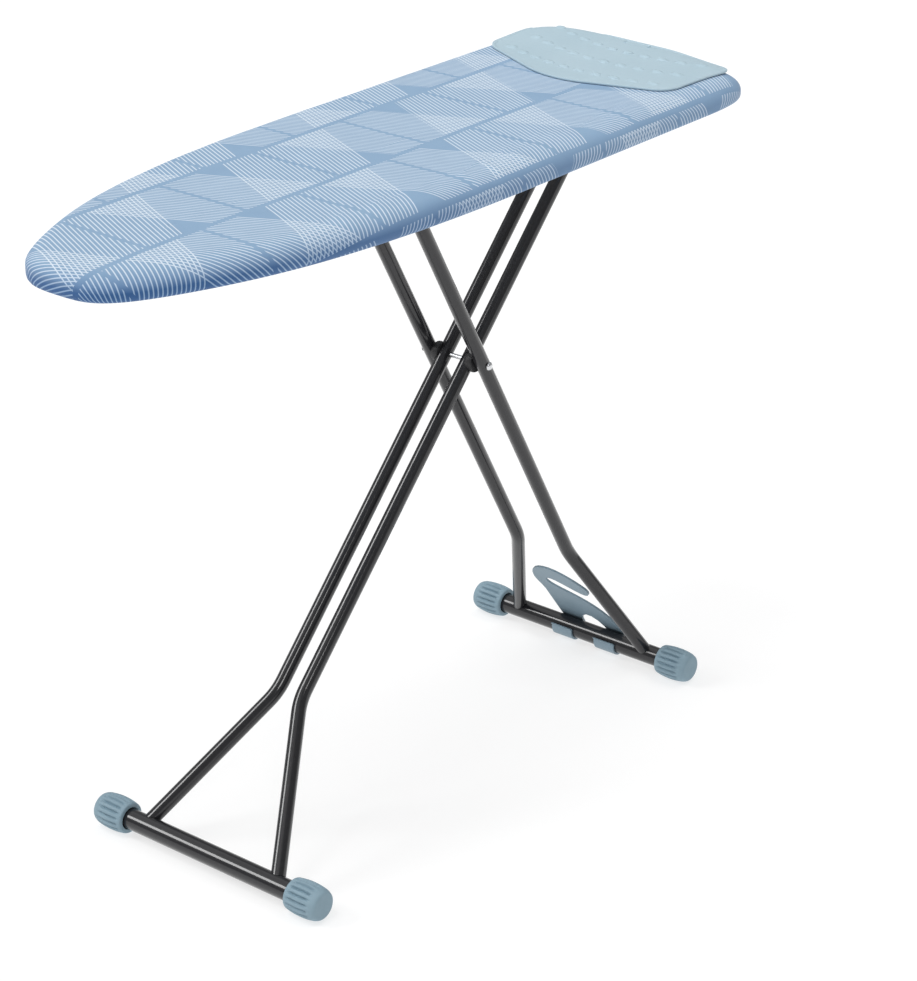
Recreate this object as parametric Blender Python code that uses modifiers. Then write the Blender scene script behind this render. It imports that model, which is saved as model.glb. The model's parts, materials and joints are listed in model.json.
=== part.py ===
"""A folding ironing board, standing open on its four rubber feet.

Frame: +X points at the square end of the board, +Z is up, and the origin is on the floor under
the middle of the board. Lengths are metres. Stations are distances from the nose tip along +X,
and heights are above the floor.
"""
import math

import bmesh
import bpy
import numpy as np

# ---------------------------------------------------------------- driving dimensions
COLLECTION = "ironing_board"
BOARD_LENGTH = 1.10
BOARD_WIDTH = 0.36
TOP_HEIGHT = 0.846            # top of the cover above the floor
COVERED_THICKNESS = 0.032     # top of the cover down to its hem
GAP = 0.0003                  # between pieces that touch

COVER_THICKNESS = 0.0012
PAD_THICKNESS = 0.007
PANEL_THICKNESS = 0.0012
RIM_RADIUS = 0.009
RIM_INSET = 0.0195            # board outline to the axis of the rim tube
PANEL_INSET = 0.0180          # board outline to the edge of the top panel

# The scissor legs: stations and heights of their axes when the board stands open.
FOOT_A_STATION = 0.2000       # foot bar under the nose end
FOOT_B_STATION = 0.9695       # foot bar under the square end
AXLE_STATION = 0.6840
AXLE_HEIGHT = 0.5313
LEG_TOP_HEIGHT = 0.8000       # level of the fixed pivot and of the folded legs
LEG_RADIUS = 0.0095
LEG_A_SPREAD = 0.0187         # half the distance between the inner tubes
LEG_B_SPREAD = 0.0429         # half the distance between the outer tubes
LEG_A_FOOT_SPREAD = 0.1110    # the same at the foot bars
LEG_B_FOOT_SPREAD = 0.1130
LEG_A_SPLAY = 0.2180          # length of leg that splays out to the foot bar
LEG_B_SPLAY = 0.1990
LEG_BEND_RADIUS = 0.080
CROSSBAR_RISE = 0.018         # crossbar above the folded leg tubes' axis
CROSSBAR_BEND = 0.045         # length of tube that bends up to the crossbar
CROSSBAR_RADIUS = 0.005
ROLLER_RADIUS = 0.007
ROLLER_WIDTH = 0.0100

FOOT_BAR_RADIUS = 0.0135
FOOT_HALF_LENGTH = 0.186      # middle of the foot bar to the end of a cap
CAP_LENGTH = 0.049
CAP_RADIUS = 0.0225
CAP_SIDES = 24
CAP_BORE_DEPTH = 0.040

AXLE_RADIUS = 0.003
PIVOT_ROD_RADIUS = 0.004

MAT_START = 0.012             # square end of the board to the mat
MAT_WIDTH = 0.308
MAT_MIDDLE = 0.014            # the mat lies a little towards the far side
MAT_TURN = 3.8                # degrees, far side towards the square end
MAT_THICKNESS = 0.003
STRAP_WIDTH = 0.042
STRAP_MIDDLE = 0.016
STRAP_THICKNESS = 0.0025

HOOK_TILT = 127.0             # degrees from +X up to the plate as it rests along the leg
HOOK_THICKNESS = 0.003
HOOK_HALF_SPAN = {"near": 0.0650, "far": 0.0425}

# ---------------------------------------------------------------- derived levels and places
CAP_SIDE_HEIGHT = CAP_RADIUS * math.cos(math.pi / CAP_SIDES)
FOOT_HEIGHT = CAP_SIDE_HEIGHT
MIDDLE_STATION = (BOARD_LENGTH + GAP + STRAP_THICKNESS) / 2
PAD_TOP = TOP_HEIGHT - COVER_THICKNESS - GAP
PANEL_TOP = PAD_TOP - PAD_THICKNESS - GAP
PANEL_UNDERSIDE = PANEL_TOP - PANEL_THICKNESS
FRAME_TOP = PANEL_UNDERSIDE - GAP
HEM_HEIGHT = TOP_HEIGHT - COVERED_THICKNESS

ANGLE_A = math.atan2(AXLE_HEIGHT - FOOT_HEIGHT, AXLE_STATION - FOOT_A_STATION)
ANGLE_B = math.atan2(AXLE_HEIGHT - FOOT_HEIGHT, FOOT_B_STATION - AXLE_STATION)
PIVOT_TO_AXLE = (LEG_TOP_HEIGHT - AXLE_HEIGHT) / math.sin(ANGLE_A)
PIVOT_TO_FOOT_A = (LEG_TOP_HEIGHT - FOOT_HEIGHT) / math.sin(ANGLE_A)
AXLE_TO_CROSSBAR = (LEG_TOP_HEIGHT - AXLE_HEIGHT) / math.sin(ANGLE_B)
AXLE_TO_FOOT_B = (AXLE_HEIGHT - FOOT_HEIGHT) / math.sin(ANGLE_B)
PIVOT_STATION = AXLE_STATION + PIVOT_TO_AXLE * math.cos(ANGLE_A)
CROSSBAR_OPEN_STATION = (AXLE_STATION - AXLE_TO_CROSSBAR * math.cos(ANGLE_B)
                         + CROSSBAR_RISE * math.sin(ANGLE_B))
CROSSBAR_OPEN_HEIGHT = LEG_TOP_HEIGHT + CROSSBAR_RISE * math.cos(ANGLE_B)
CROSSBAR_FOLDED_STATION = PIVOT_STATION - PIVOT_TO_AXLE - AXLE_TO_CROSSBAR
LEG_B_OUTER = LEG_B_SPREAD + LEG_RADIUS


def x_at(station):
    """World X of a station."""
    return station - MIDDLE_STATION


# ---------------------------------------------------------------- scene, materials, placing
def clear_scene():
    for old in list(bpy.data.objects):
        bpy.data.objects.remove(old)


def new_collection(name):
    collection = bpy.data.collections.new(name)
    bpy.context.scene.collection.children.link(collection)
    return collection


def make_material(name, colour, roughness, metallic=0.0):
    material = bpy.data.materials.new(name)
    material.use_nodes = True
    shader = material.node_tree.nodes["Principled BSDF"]
    shader.inputs["Base Color"].default_value = (*colour, 1.0)
    shader.inputs["Roughness"].default_value = roughness
    shader.inputs["Metallic"].default_value = metallic
    return material


def add_empty(name, station, across, height, angle_y):
    """An axis that a moving group hangs on, turned about Y by angle_y."""
    empty = bpy.data.objects.new(name, None)
    parts.objects.link(empty)
    empty.location = (x_at(station), across, height)
    empty.rotation_euler = (0, angle_y, 0)
    bpy.context.view_layer.update()
    return empty


def place(obj, material, location=(0, 0, 0), rotation=(0, 0, 0), parent=None):
    """Puts a finished solid in its group, with its own material."""
    obj.data.materials.clear()
    obj.data.materials.append(material.copy())
    obj.data.materials[0].name = obj.name
    obj.location = location
    obj.rotation_euler = rotation
    obj.parent = parent
    obj.data.shade_smooth()
    obj.data.set_sharp_from_angle(angle=math.radians(40))
    return obj


def cut(obj, cutter):
    """Subtracts a cutter, which stays in the scene as a wire."""
    modifier = obj.modifiers.new("cut_" + cutter.name, "BOOLEAN")
    modifier.object = cutter
    modifier.operation = "DIFFERENCE"
    modifier.solver = "EXACT"


def as_cutter(obj, location=(0, 0, 0), rotation=(0, 0, 0), parent=None):
    parts.objects.unlink(obj)
    cutters.objects.link(obj)
    obj.location = location
    obj.rotation_euler = rotation
    obj.parent = parent
    obj.hide_render = True
    obj.display_type = "WIRE"
    return obj


# ---------------------------------------------------------------- shapes
ALONG_Y = (math.radians(90), 0, 0)
ALONG_X = (0, math.radians(90), 0)
SECTION_ALONG_X = (math.radians(90), 0, math.radians(90))


def object_from_bmesh(name, mesh_builder):
    mesh = bpy.data.meshes.new(name)
    mesh_builder.to_mesh(mesh)
    mesh_builder.free()
    obj = bpy.data.objects.new(name, mesh)
    parts.objects.link(obj)
    return obj


def box(name, size):
    builder = bmesh.new()
    bmesh.ops.create_cube(builder, size=1.0)
    bmesh.ops.scale(builder, vec=size, verts=builder.verts)
    return object_from_bmesh(name, builder)


def rod(name, radius, length, sides=24):
    """A cylinder along its own Z, with a flat side towards +-X and +-Y."""
    builder = bmesh.new()
    bmesh.ops.create_cone(builder, cap_ends=True, segments=sides, radius1=radius, radius2=radius,
                          depth=length)
    return object_from_bmesh(name, builder)


def turned(name, profile, sides=24):
    """A profile of (radius, height) points, running down its outer side, turned about Z."""
    mesh = bpy.data.meshes.new(name)
    closed = profile[0][0] > 0
    count = len(profile)
    edges = [(i, i + 1) for i in range(count - 1)]
    if closed:
        edges.append((count - 1, 0))
    mesh.from_pydata([(radius, 0, height) for radius, height in profile], edges, [])
    obj = bpy.data.objects.new(name, mesh)
    parts.objects.link(obj)
    screw = obj.modifiers.new("turn", "SCREW")
    screw.steps = sides
    screw.render_steps = sides
    screw.use_merge_vertices = True
    screw.merge_threshold = 0.00001
    return obj


def mesh_from_curve(curve_object):
    """The curve's surface as a mesh object, with its caps welded on."""
    bpy.context.view_layer.update()
    evaluated = curve_object.evaluated_get(bpy.context.evaluated_depsgraph_get())
    mesh = bpy.data.meshes.new_from_object(evaluated)
    builder = bmesh.new()
    builder.from_mesh(mesh)
    bmesh.ops.remove_doubles(builder, verts=builder.verts, dist=0.000001)
    bmesh.ops.recalc_face_normals(builder, faces=builder.faces)
    builder.to_mesh(mesh)
    builder.free()
    name = curve_object.name
    world = curve_object.matrix_world.copy()
    bpy.data.objects.remove(curve_object)
    obj = bpy.data.objects.new(name, mesh)
    obj.matrix_world = world
    parts.objects.link(obj)
    return obj


def poly_curve(name, points, dimensions, cyclic):
    curve = bpy.data.curves.new(name, "CURVE")
    curve.dimensions = dimensions
    spline = curve.splines.new("POLY")
    spline.points.add(len(points) - 1)
    for spline_point, point in zip(spline.points, points):
        spline_point.co = (*point, 1.0) if len(point) == 3 else (*point, 0.0, 1.0)
    spline.use_cyclic_u = cyclic
    obj = bpy.data.objects.new(name, curve)
    parts.objects.link(obj)
    return obj


def tube(name, points, radius, resolution=4, cyclic=False):
    """A round bar along a path of 3-D points."""
    obj = poly_curve(name, points, "3D", cyclic)
    obj.data.bevel_depth = radius
    obj.data.bevel_resolution = resolution
    obj.data.use_fill_caps = not cyclic
    return mesh_from_curve(obj)


def plate(name, outline, thickness):
    """A flat outline in XY, thickened evenly about its own plane."""
    obj = poly_curve(name, outline, "2D", True)
    obj.data.fill_mode = "BOTH"
    obj.data.extrude = thickness / 2
    return mesh_from_curve(obj)


def soften(obj, width, segments):
    bevel = obj.modifiers.new("soft_edges", "BEVEL")
    bevel.width = width
    bevel.segments = segments
    bevel.use_clamp_overlap = False
    bevel.limit_method = "ANGLE"
    bevel.angle_limit = math.radians(50)


def arc(centre, radius, start, end, steps):
    """Points on an arc, from the start angle to the end angle in degrees."""
    angles = np.radians(np.linspace(start, end, steps + 1))
    return [(centre[0] + radius * math.cos(a), centre[1] + radius * math.sin(a)) for a in angles]


def rounded_path(corners, radius, steps=6):
    """A path of 3-D points whose inner corners are rounded to the radius."""
    points = [np.array(corner, float) for corner in corners]
    path = [points[0]]
    for before, corner, after in zip(points, points[1:], points[2:]):
        inward = (before - corner) / np.linalg.norm(before - corner)
        outward = (after - corner) / np.linalg.norm(after - corner)
        half_angle = math.acos(np.clip(inward @ outward, -1, 1)) / 2
        reach = radius / math.tan(half_angle)
        bisector = (inward + outward) / np.linalg.norm(inward + outward)
        centre = corner + bisector * radius / math.sin(half_angle)
        start = corner + inward * reach - centre
        finish = corner + outward * reach - centre
        sweep = math.acos(np.clip(start @ finish / radius ** 2, -1, 1))
        for step in range(steps + 1):
            share = step / steps
            mix = (math.sin((1 - share) * sweep) * start + math.sin(share * sweep) * finish)
            path.append(centre + mix / math.sin(sweep))
    path.append(points[-1])
    return [tuple(point) for point in path]


# ---------------------------------------------------------------- board outline
def bezier(start, start_handle, end_handle, end, steps):
    """Points of a cubic curve, without its end point."""
    share = np.linspace(0, 1, steps, endpoint=False)[:, None]
    corners = [np.array(p, float) for p in (start, start_handle, end_handle, end)]
    return ((1 - share) ** 3 * corners[0] + 3 * (1 - share) ** 2 * share * corners[1]
            + 3 * (1 - share) * share ** 2 * corners[2] + share ** 3 * corners[3])


def half_outline():
    """The +Y half of the covered board, from the nose tip to the middle of the square end."""
    half = BOARD_WIDTH / 2
    shoulder = np.array((0.102, 0.111))
    slope = np.array((math.cos(math.radians(22.4)), math.sin(math.radians(22.4))))
    widest = np.array((0.66, half))
    corner = np.array((0.97, half))
    end = np.array((BOARD_LENGTH, 0.0))
    return np.vstack([
        bezier((0, 0), (0, 0.045), shoulder - slope * 0.109, shoulder, 7),
        bezier(shoulder, shoulder + slope * 0.174, widest - (0.24, 0), widest, 5),
        bezier(widest, widest + (0.1, 0), corner - (0.1, 0), corner, 1),
        bezier(corner, corner + (0.12, 0), end + (0, 0.165), end, 9),
        [end],
    ])


def board_outline(inset):
    """The whole outline moved inwards by the inset, as (world x, y) points."""
    half = half_outline()
    whole = np.vstack([half, half[-2:0:-1] * (1, -1)])
    tangent = np.roll(whole, -1, axis=0) - np.roll(whole, 1, axis=0)
    tangent /= np.linalg.norm(tangent, axis=1)[:, None]
    inward = np.column_stack([tangent[:, 1], -tangent[:, 0]])
    moved = whole + inward * inset
    return [(x_at(station), y) for station, y in moved]


def half_width_at(station):
    half = half_outline()
    return float(np.interp(station, half[:, 0], half[:, 1]))


# ---------------------------------------------------------------- board: soft top
def make_cover():
    edge_radius = 0.005
    outer = plate("cover", board_outline(0), COVERED_THICKNESS)
    soften(outer, edge_radius, 2)
    cavity_height = COVERED_THICKNESS - 2 * COVER_THICKNESS
    cavity = plate("cover_cavity", board_outline(COVER_THICKNESS), cavity_height)
    soften(cavity, edge_radius - COVER_THICKNESS, 2)
    middle = TOP_HEIGHT - COVERED_THICKNESS / 2
    cut(outer, as_cutter(cavity, (0, 0, middle)))
    mouth_inset = 0.024
    mouth = plate("cover_mouth", board_outline(mouth_inset), COVERED_THICKNESS / 2)
    cut(outer, as_cutter(mouth, (0, 0, HEM_HEIGHT)))
    return place(outer, blue_cloth, (0, 0, middle))


def make_pad():
    pad = plate("foam_pad", board_outline(0.002), PAD_THICKNESS)
    soften(pad, 0.003, 2)
    return place(pad, foam, (0, 0, PAD_TOP - PAD_THICKNESS / 2))


def make_mat():
    """The silicone iron rest: rounded corners, and a shallow point towards the nose."""
    corner = 0.030
    side_length = 0.157
    point_length = 0.192
    half = MAT_WIDTH / 2
    tilt = math.degrees(math.atan2(point_length - side_length, half))
    outline = arc((-corner, half - corner), corner, 0, 90, 5)
    outline += arc((corner - side_length, half - corner), corner, 90, 180 - tilt, 5)
    outline.append((-point_length, 0))
    outline += [(x, -y) for x, y in reversed(outline[:-1])]
    mat = plate("iron_rest_mat", outline, MAT_THICKNESS)
    soften(mat, 0.0008, 1)
    location = (x_at(BOARD_LENGTH - MAT_START), MAT_MIDDLE, TOP_HEIGHT + GAP + MAT_THICKNESS / 2)
    return place(mat, silicone, location, (0, 0, -math.radians(MAT_TURN)))


def make_mat_strap():
    """The tongue that runs from the mat over the square end and hooks under the hem."""
    inner_radius = 0.005
    outer_radius = inner_radius + STRAP_THICKNESS
    end = x_at(BOARD_LENGTH) + GAP
    top = TOP_HEIGHT + GAP
    bottom = HEM_HEIGHT - GAP
    slant = (STRAP_WIDTH / 2 + STRAP_MIDDLE - MAT_MIDDLE) * math.tan(math.radians(MAT_TURN))
    start = x_at(BOARD_LENGTH - MAT_START) + slant + GAP
    tuck = 0.018
    bend_x = end - inner_radius
    outline = [(start, top), (start, top + STRAP_THICKNESS)]
    outline += arc((bend_x, top - inner_radius), outer_radius, 90, 0, 4)
    outline += arc((bend_x, bottom + inner_radius), outer_radius, 0, -90, 4)
    outline += [(end - tuck, bottom - STRAP_THICKNESS), (end - tuck, bottom)]
    outline += arc((bend_x, bottom + inner_radius), inner_radius, -90, 0, 4)
    outline += arc((bend_x, top - inner_radius), inner_radius, 0, 90, 4)
    strap = plate("mat_strap", outline, STRAP_WIDTH)
    return place(strap, silicone, (0, STRAP_MIDDLE, 0), ALONG_Y)


# ---------------------------------------------------------------- board: steel frame
def make_panel():
    """The pressed steel top, with rows of steam holes."""
    panel = plate("top_panel", board_outline(PANEL_INSET), PANEL_THICKNESS)
    hole_radius = 0.009
    pitch = 0.070
    row_pitch = 0.060
    edge_margin = 0.045
    builder = bmesh.new()
    for row in range(-2, 3):
        for column in range(15):
            station = 0.09 + pitch * (column + 0.5 * (row % 2))
            if abs(row * row_pitch) > half_width_at(station) - edge_margin:
                continue
            if station > BOARD_LENGTH - edge_margin:
                continue
            made = bmesh.ops.create_cone(builder, cap_ends=True, segments=8, radius1=hole_radius,
                                         radius2=hole_radius, depth=4 * PANEL_THICKNESS)
            place_at = (x_at(station), row * row_pitch, 0)
            bmesh.ops.translate(builder, vec=place_at, verts=made["verts"])
    height = PANEL_UNDERSIDE + PANEL_THICKNESS / 2
    cut(panel, as_cutter(object_from_bmesh("steam_holes", builder), (0, 0, height)))
    return place(panel, grey_steel, (0, 0, height))


def make_rim():
    points = [(x, y, 0) for x, y in board_outline(RIM_INSET)]
    rim = tube("rim_tube", points, RIM_RADIUS, resolution=2, cyclic=True)
    return place(rim, grey_steel, (0, 0, FRAME_TOP - RIM_RADIUS))


RIB_THICKNESS = 0.003
RIB_WIDTH = 0.025
RIB_STATIONS = {"nose_rib": 0.170, "middle_rib": 0.625, "end_rib": PIVOT_STATION}


def make_ribs():
    rim_inner_edge = RIM_INSET + RIM_RADIUS + GAP
    for name, station in RIB_STATIONS.items():
        ends = (half_width_at(station - RIB_WIDTH / 2), half_width_at(station + RIB_WIDTH / 2))
        half_length = min(ends) - rim_inner_edge
        rib = box(name, (RIB_WIDTH, 2 * half_length, RIB_THICKNESS))
        place(rib, grey_steel, (x_at(station), 0, FRAME_TOP - RIB_THICKNESS / 2))


RAIL_END = CROSSBAR_OPEN_STATION + ROLLER_RADIUS + 0.0045
RAIL_START = CROSSBAR_FOLDED_STATION - ROLLER_RADIUS - 0.012
RAIL_WEB = LEG_B_OUTER + 0.0116      # inner face of the web from the middle
ROLLER_TRACK = CROSSBAR_OPEN_HEIGHT - ROLLER_RADIUS - 0.0005


def make_guide_rail(name, side):
    """A Z-section rail: a top flange against the panel, a web, and the track for the roller."""
    sheet = 0.0015
    track_edge = LEG_B_OUTER + 0.0021
    flange_edge = RAIL_WEB + 0.017
    top = FRAME_TOP
    outline = [
        (track_edge, ROLLER_TRACK), (RAIL_WEB, ROLLER_TRACK), (RAIL_WEB, top), (flange_edge, top),
        (flange_edge, top - sheet), (RAIL_WEB + sheet, top - sheet),
        (RAIL_WEB + sheet, ROLLER_TRACK - sheet), (track_edge, ROLLER_TRACK - sheet),
    ]
    rail = plate(name, [(side * y, z) for y, z in outline], RAIL_END - RAIL_START)
    middle = x_at((RAIL_END + RAIL_START) / 2)
    return place(rail, grey_steel, (middle, 0, 0), SECTION_ALONG_X)


def make_height_rack():
    """A steel plate on the centre line whose long slot the crossbar rides in."""
    thickness = 0.003
    tab = 0.0075
    stop_gap = 0.0006
    slot_end = CROSSBAR_OPEN_STATION + CROSSBAR_RADIUS + stop_gap
    slot_start = CROSSBAR_FOLDED_STATION - CROSSBAR_RADIUS - stop_gap
    slot_top = FRAME_TOP - 0.0036
    slot_floor = CROSSBAR_OPEN_HEIGHT - CROSSBAR_RADIUS - 0.0005
    bottom = slot_floor - 0.0105
    outline = [
        (x_at(slot_start - tab), bottom), (x_at(slot_end + tab), bottom),
        (x_at(slot_end + tab), FRAME_TOP), (x_at(slot_start - tab), FRAME_TOP),
    ]
    rack = plate("height_rack", outline, thickness)
    slot = box("rack_slot", (slot_end - slot_start, 3 * thickness, slot_top - slot_floor))
    slot_middle = (x_at((slot_start + slot_end) / 2), 0, (slot_top + slot_floor) / 2)
    cut(rack, as_cutter(slot, slot_middle))
    notch_radius = 0.0055
    notch_pitch = 0.038
    notch_depth = 0.0035
    for number in range(5):
        notch = rod("rack_notch_" + str(number + 1), notch_radius, 3 * thickness, 16)
        station = slot_end - notch_radius - 0.002 - notch_pitch * number
        location = (x_at(station), 0, slot_floor + notch_radius - notch_depth)
        cut(rack, as_cutter(notch, location, ALONG_Y))
    return place(rack, grey_steel, rotation=ALONG_Y)


BRACKET_SHEET = 0.002
BRACKET_INNER = LEG_A_SPREAD + LEG_RADIUS + 0.0008


def make_pivot_bracket():
    """A U-shaped bracket under the end rib that holds the rod of the inner leg."""
    length = 0.040
    top = FRAME_TOP - RIB_THICKNESS - GAP
    bottom = LEG_TOP_HEIGHT - 0.009
    outer = BRACKET_INNER + BRACKET_SHEET
    outline = [
        (-outer, bottom), (-BRACKET_INNER, bottom), (-BRACKET_INNER, top - BRACKET_SHEET),
        (BRACKET_INNER, top - BRACKET_SHEET), (BRACKET_INNER, bottom), (outer, bottom),
        (outer, top), (-outer, top),
    ]
    bracket = plate("pivot_bracket", outline, length)
    hole = rod("pivot_rod_hole", PIVOT_ROD_RADIUS + GAP, 3 * outer)
    cut(bracket, as_cutter(hole, (x_at(PIVOT_STATION), 0, LEG_TOP_HEIGHT), ALONG_Y))
    return place(bracket, grey_steel, (x_at(PIVOT_STATION), 0, 0), SECTION_ALONG_X)


def make_pivot_rod():
    half_length = BRACKET_INNER + BRACKET_SHEET + 0.0010
    pivot_rod = rod("pivot_rod", PIVOT_ROD_RADIUS, 2 * half_length)
    return place(pivot_rod, bright_steel, (x_at(PIVOT_STATION), 0, LEG_TOP_HEIGHT), ALONG_Y)


# ---------------------------------------------------------------- height release
LEVER_Y = -0.100
LEVER_PIVOT_STATION = 0.962
LEVER_PIVOT_HEIGHT = 0.8185
LEVER_THICKNESS = 0.006
LEVER_PIN_RADIUS = 0.0025
LEVER_CRANK = 0.0095
LEVER_ARM_HEIGHT = 0.008
LEVER_TIP_STATION = 1.055
LEVER_IN_GRIP = 0.012         # end of the steel lever to the end of its grip
RELEASE_ROD_RADIUS = 0.002


def make_lever_bracket():
    """Two ears under the end rib, with the lever's pin through them."""
    ear = 0.002
    inner = LEVER_THICKNESS / 2 + 0.0075
    outer = inner + ear
    top = FRAME_TOP - GAP
    bottom = LEVER_PIVOT_HEIGHT - 0.0055
    length = 0.011
    behind_pin = 0.004
    outline = [
        (-outer, bottom), (-inner, bottom), (-inner, top - ear), (inner, top - ear),
        (inner, bottom), (outer, bottom), (outer, top), (-outer, top),
    ]
    bracket = plate("lever_bracket", outline, length)
    hole = rod("lever_pin_hole", LEVER_PIN_RADIUS + GAP, 3 * outer, 16)
    cut(bracket, as_cutter(hole, (x_at(LEVER_PIVOT_STATION), LEVER_Y, LEVER_PIVOT_HEIGHT), ALONG_Y))
    location = (x_at(LEVER_PIVOT_STATION + behind_pin), LEVER_Y, 0)
    return place(bracket, grey_steel, location, SECTION_ALONG_X)


def make_lever_pin():
    half_length = LEVER_THICKNESS / 2 + 0.0105
    pin = rod("lever_pin", LEVER_PIN_RADIUS, 2 * half_length, 16)
    return place(pin, bright_steel, (x_at(LEVER_PIVOT_STATION), LEVER_Y, LEVER_PIVOT_HEIGHT), ALONG_Y)


def make_lever_spring():
    """A torsion spring coiled round the pin beside the lever."""
    turns = 4
    steps_per_turn = 10
    coil_radius = 0.0042
    wire_radius = 0.0005
    pitch = 0.0013
    start_y = LEVER_THICKNESS / 2 + 0.0014
    points = []
    for step in range(turns * steps_per_turn + 1):
        angle = 2 * math.pi * step / steps_per_turn
        along = start_y + pitch * step / steps_per_turn
        points.append((coil_radius * math.cos(angle), along, coil_radius * math.sin(angle)))
    spring = tube("lever_spring", points, wire_radius, resolution=1)
    return place(spring, bright_steel, (x_at(LEVER_PIVOT_STATION), LEVER_Y, LEVER_PIVOT_HEIGHT))


def make_release_lever(axis):
    """A flat lever: a short crank above the pin, and an arm back to the grip."""
    hub = 0.0055
    arm = LEVER_ARM_HEIGHT / 2
    crank_end = 0.0030
    reach = LEVER_TIP_STATION - LEVER_PIVOT_STATION - LEVER_IN_GRIP
    outline = arc((0, 0), hub, 150, 310, 8)
    outline += [(reach, -arm), (reach, arm), (hub, arm)]
    outline += arc((0, LEVER_CRANK), crank_end, 0, 180, 6)
    lever = plate("release_lever", outline, LEVER_THICKNESS)
    hole = rod("lever_bore", LEVER_PIN_RADIUS + GAP, 3 * LEVER_THICKNESS, 16)
    cut(lever, as_cutter(hole, rotation=ALONG_Y, parent=axis))
    return place(lever, grey_steel, rotation=ALONG_Y, parent=axis)


def make_lever_grip(axis):
    """A moulded sleeve over the end of the lever."""
    length = 0.052
    width = 0.018
    height = 0.014
    start = LEVER_TIP_STATION - LEVER_PIVOT_STATION - length
    grip = box("lever_grip", (length, width, height))
    soften(grip, 0.004, 3)
    depth = length - LEVER_IN_GRIP + GAP
    pocket_size = (2 * depth, LEVER_THICKNESS + 2 * GAP, LEVER_ARM_HEIGHT + 2 * GAP)
    pocket = box("grip_pocket", pocket_size)
    cut(grip, as_cutter(pocket, (start, 0, 0), parent=axis))
    return place(grip, black_plastic, (start + length / 2, 0, 0), parent=axis)


def make_release_rod():
    """The push rod from the lever's crank to the rack."""
    height = LEVER_PIVOT_HEIGHT + LEVER_CRANK
    start = x_at(LEVER_PIVOT_STATION) - 0.0042
    rack_end = x_at(CROSSBAR_OPEN_STATION + 0.0205)
    corners = [(start, LEVER_Y, height), (x_at(0.640), LEVER_Y, height),
               (rack_end, LEVER_Y + 0.045, height), (rack_end, -0.0045, height)]
    release_rod = tube("release_rod", rounded_path(corners, 0.020, 4), RELEASE_ROD_RADIUS, 2)
    return place(release_rod, bright_steel)


def make_rod_guides():
    height = LEVER_PIVOT_HEIGHT + LEVER_CRANK
    for number, station in enumerate((0.680, 0.900)):
        name = "rod_guide_" + str(number + 1)
        bottom = height - 0.0050
        guide = box(name, (0.010, 0.014, FRAME_TOP - bottom))
        location = (x_at(station), LEVER_Y, (FRAME_TOP + bottom) / 2)
        hole = rod(name + "_hole", RELEASE_ROD_RADIUS + GAP, 0.040, 16)
        cut(guide, as_cutter(hole, (location[0], LEVER_Y, height), ALONG_X))
        place(guide, black_plastic, location)


# ---------------------------------------------------------------- legs
def make_leg_tube(name, corners, axis, end_cuts, cross_holes):
    """A bent tube whose ends are cut round what they are welded to."""
    leg = tube(name, rounded_path(corners, LEG_BEND_RADIUS), LEG_RADIUS, 5)
    for number, (station, height, radius) in enumerate(end_cuts + cross_holes):
        cutter = rod(name + "_cut_" + str(number + 1), radius, 0.40)
        cut(leg, as_cutter(cutter, (station, 0, height), ALONG_Y, axis))
    return place(leg, black_paint, parent=axis)


def make_foot_bar(name, along, axis):
    half_length = FOOT_HALF_LENGTH - CAP_LENGTH + CAP_BORE_DEPTH - GAP
    bar = rod(name, FOOT_BAR_RADIUS, 2 * half_length)
    return place(bar, black_paint, (along, 0, 0), ALONG_Y, axis)


def make_foot_cap(name, along, side, angle, axis):
    """A barrel-shaped rubber cap pushed over the end of a foot bar."""
    bore = FOOT_BAR_RADIUS + GAP
    mouth_radius = 0.0175
    mouth_depth = 0.003
    end_face_radius = 0.0165
    barrel = [(0.0190, CAP_LENGTH - 0.0020), (0.0214, CAP_LENGTH - 0.0110), (CAP_RADIUS, 0.0300),
              (CAP_RADIUS, 0.0160), (0.0214, 0.0050), (0.0205, 0)]
    profile = [(0, CAP_LENGTH), (end_face_radius, CAP_LENGTH)] + barrel
    profile += [(mouth_radius, 0), (mouth_radius, mouth_depth), (bore, mouth_depth),
                (bore, CAP_BORE_DEPTH), (0, CAP_BORE_DEPTH)]
    cap = turned(name, profile, CAP_SIDES)
    inner_end = side * (FOOT_HALF_LENGTH - CAP_LENGTH)
    half_side = math.pi / CAP_SIDES
    outward = (math.radians(-90 * side), 0, 0)
    holder = bpy.data.objects.new(name + "_seat", None)
    parts.objects.link(holder)
    holder.location = (along, inner_end, 0)
    holder.rotation_euler = (0, -angle, 0)
    holder.parent = axis
    cap_object = place(cap, blue_rubber, rotation=outward, parent=holder)
    cap_object.rotation_euler.rotate_axis("Z", half_side)
    return cap_object


def make_leg_a(axis):
    """The inner leg, in a frame whose X runs up the leg to the fixed pivot."""
    foot = -PIVOT_TO_FOOT_A
    sleeve_radius = 0.0072
    for name, side in (("leg_a_tube_near", -1), ("leg_a_tube_far", 1)):
        corners = [(foot, side * LEG_A_FOOT_SPREAD, 0), (foot + LEG_A_SPLAY, side * LEG_A_SPREAD, 0),
                   (0, side * LEG_A_SPREAD, 0)]
        ends = [(foot, 0, FOOT_BAR_RADIUS + GAP), (0, 0, sleeve_radius + GAP)]
        make_leg_tube(name, corners, axis, ends, [(-PIVOT_TO_AXLE, 0, AXLE_RADIUS + GAP)])
    half_sleeve = BRACKET_INNER - 0.0005
    bore = PIVOT_ROD_RADIUS + GAP
    profile = [(sleeve_radius, half_sleeve), (sleeve_radius, -half_sleeve), (bore, -half_sleeve),
               (bore, half_sleeve)]
    place(turned("pivot_sleeve", profile), black_paint, rotation=ALONG_Y, parent=axis)
    make_foot_bar("foot_bar_a", foot, axis)
    for name, side in (("foot_cap_a_near", -1), ("foot_cap_a_far", 1)):
        make_foot_cap(name, foot, side, -ANGLE_A, axis)


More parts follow.
